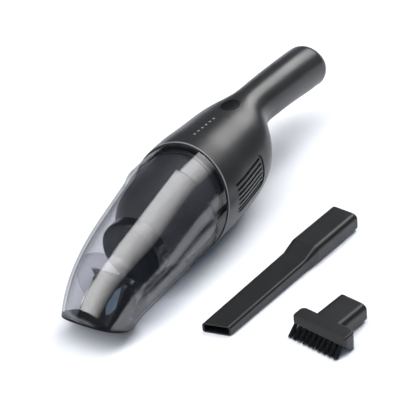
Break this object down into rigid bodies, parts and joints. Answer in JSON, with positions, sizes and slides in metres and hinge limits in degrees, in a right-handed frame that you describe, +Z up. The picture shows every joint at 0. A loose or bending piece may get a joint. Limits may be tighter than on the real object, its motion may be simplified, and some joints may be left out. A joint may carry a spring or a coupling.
{
  "type": "car vacuum cleaner",
  "caption": "Hand-held cordless car vacuum cleaner with a clear slanted dust cup, tapered mesh filter, straight grip, and a separate crevice tool and brush tool.",
  "frame": {"origin": "centre of the flat under the barrel, on the ground", "axes": "+Y from the nozzle to the handle's end, +Z up, the two tools on the +X side"},
  "size_m": [0.2246, 0.37, 0.0885],
  "materials": {
    "graphite_shell": "satin moulded",
    "satin_button": "satin moulded",
    "clear_smoke": "clear smoky moulded",
    "black_gloss": "gloss",
    "black_plastic": "fine grain",
    "bristle_nylon": "extruded",
    "filter_mesh": "woven mesh",
    "filter_paper": "pleated paper",
    "foam_grey": "open foam",
    "grey_plastic": "moulded",
    "soft_rubber": "moulded",
    "plated_steel": "zinc plated",
    "bearing_bronze": "sintered",
    "core_steel": "stacked sheet",
    "copper_wire": "enamelled",
    "magnet_ferrite": "sintered",
    "brush_carbon": "pressed carbon",
    "board_green": "solder mask",
    "lamp_lens": "frosted",
    "cell_wrap": "shrink wrapped",
    "contact_nickel": "nickel plated",
    "lead_insulation": "extruded"
  },
  "bodies": {
    "base": {"housing_shell": "graphite_shell", "handle_cover": "graphite_shell", "cover_screws": "plated_steel", "bulkhead": "black_plastic", "bulkhead_screws": "plated_steel", "exhaust_foam": "foam_grey", "fan_shroud": "grey_plastic", "motor_can": "plated_steel", "motor_screws": "plated_steel", "front_bearing": "bearing_bronze", "rear_bearing": "bearing_bronze", "motor_endcap": "grey_plastic", "motor_terminals": "copper_wire", "motor_magnets": "magnet_ferrite", "motor_brushes": "brush_carbon", "motor_ring": "black_plastic", "button_dome": "soft_rubber", "power_switch": "grey_plastic", "circuit_board": "board_green", "board_screws": "plated_steel", "lamp_strip": "lamp_lens", "lamp_board": "board_green", "battery_cell_1": "cell_wrap", "battery_cell_2": "cell_wrap", "cell_cradle": "black_plastic", "cell_contacts": "contact_nickel", "charge_port": "plated_steel", "port_board": "board_green", "motor_leads": "lead_insulation", "battery_leads": "lead_insulation", "charge_leads": "lead_insulation", "lamp_leads": "lead_insulation"},
    "fan_wheel": {"fan": "grey_plastic", "motor_shaft": "plated_steel", "rotor_core": "core_steel", "rotor_winding": "copper_wire", "commutator": "copper_wire"},
    "button": {"power_button": "satin_button"},
    "cup": {"dust_cup": "clear_smoke", "cup_seal": "soft_rubber", "inlet_duct": "black_gloss", "socket_ribs": "black_plastic", "chamber_wall": "black_plastic", "flap_pin": "plated_steel"},
    "flap": {"inlet_flap": "black_plastic"},
    "filter": {"filter_plate": "black_plastic", "filter_seal": "soft_rubber", "mesh_sleeve": "filter_mesh", "pleated_filter": "filter_paper", "filter_cap": "black_gloss"},
    "crevice": {"crevice_tool": "black_plastic"},
    "brush": {"brush_body": "black_plastic", "brush_bristles": "bristle_nylon"}
  },
  "joints": [
    {"name": "fan_spin", "type": "hinge", "parent": "base", "child": "fan_wheel", "pos_m": [0, 0.025, 0.044], "axis": [0, 1, 0], "continuous": true},
    {"name": "button_press", "type": "slide", "parent": "base", "child": "button", "axis": [0, 0, -1], "range_m": [0, 0.0006], "stiffness_N_per_m": 600, "springref_m": -0.001, "deforming": ["button_dome"]},
    {"name": "cup_pull", "type": "slide", "parent": "base", "child": "cup", "axis": [0, -1, 0], "range_m": [0, 0.23]},
    {"name": "flap_swing", "type": "hinge", "parent": "cup", "child": "flap", "pos_m": [0, -0.1239, 0.03675], "axis": [1, 0, 0], "range_deg": [0, 20]},
    {"name": "filter_pull", "type": "slide", "parent": "cup", "child": "filter", "axis": [0, 1, 0], "range_m": [0, 0.1085]},
    {"name": "crevice_lift", "type": "slide", "parent": "base", "child": "crevice", "axis": [0, 0, 1], "range_m": [0, 0.12]},
    {"name": "brush_lift", "type": "slide", "parent": "base", "child": "brush", "axis": [0, 0, 1], "range_m": [0, 0.12]}
  ],
  "couplings": [
    {"joint": "filter_pull", "follows": "cup_pull", "ratio": 0.47}
  ]
}
